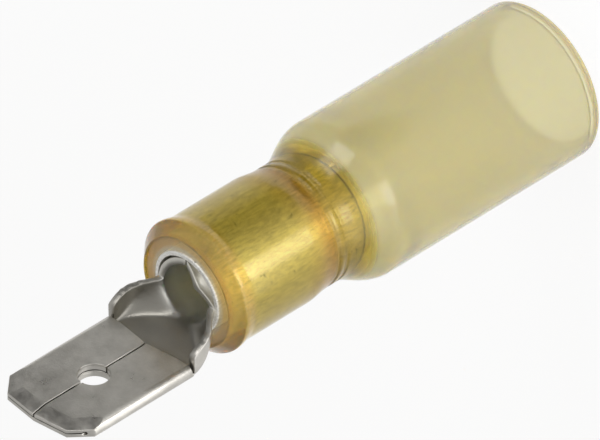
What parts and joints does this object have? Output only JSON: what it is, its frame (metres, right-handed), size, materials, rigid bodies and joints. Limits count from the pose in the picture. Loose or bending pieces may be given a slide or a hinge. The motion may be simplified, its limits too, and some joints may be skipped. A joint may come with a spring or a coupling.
{
  "type": "heat shrink spade terminal",
  "caption": "Male spade crimp terminal: folded tinned tab, open trough and rolled wire barrel, ferrule, and a translucent yellow heat shrink sleeve lined with hot melt.",
  "frame": {"origin": "on the axis, in the plane of the sleeve's mouth, on which the part stands", "axes": "+Z along the barrel's axis from the sleeve's mouth up to the tab's tip, -Y square to the tab on its seam's side"},
  "size_m": [0.0088, 0.0088, 0.0355],
  "materials": {
    "tinned_sheet": "bright tin plate over brass sheet",
    "ferrule_metal": "tin plated, fine drawn lines",
    "hot_melt": "clear, slightly cloudy hot melt adhesive",
    "shrink_sleeve": "translucent yellow heat shrink plastic"
  },
  "bodies": {
    "root": {"terminal": "tinned_sheet", "ferrule": "ferrule_metal", "liner": "hot_melt", "sleeve": "shrink_sleeve"}
  },
  "joints": []
}
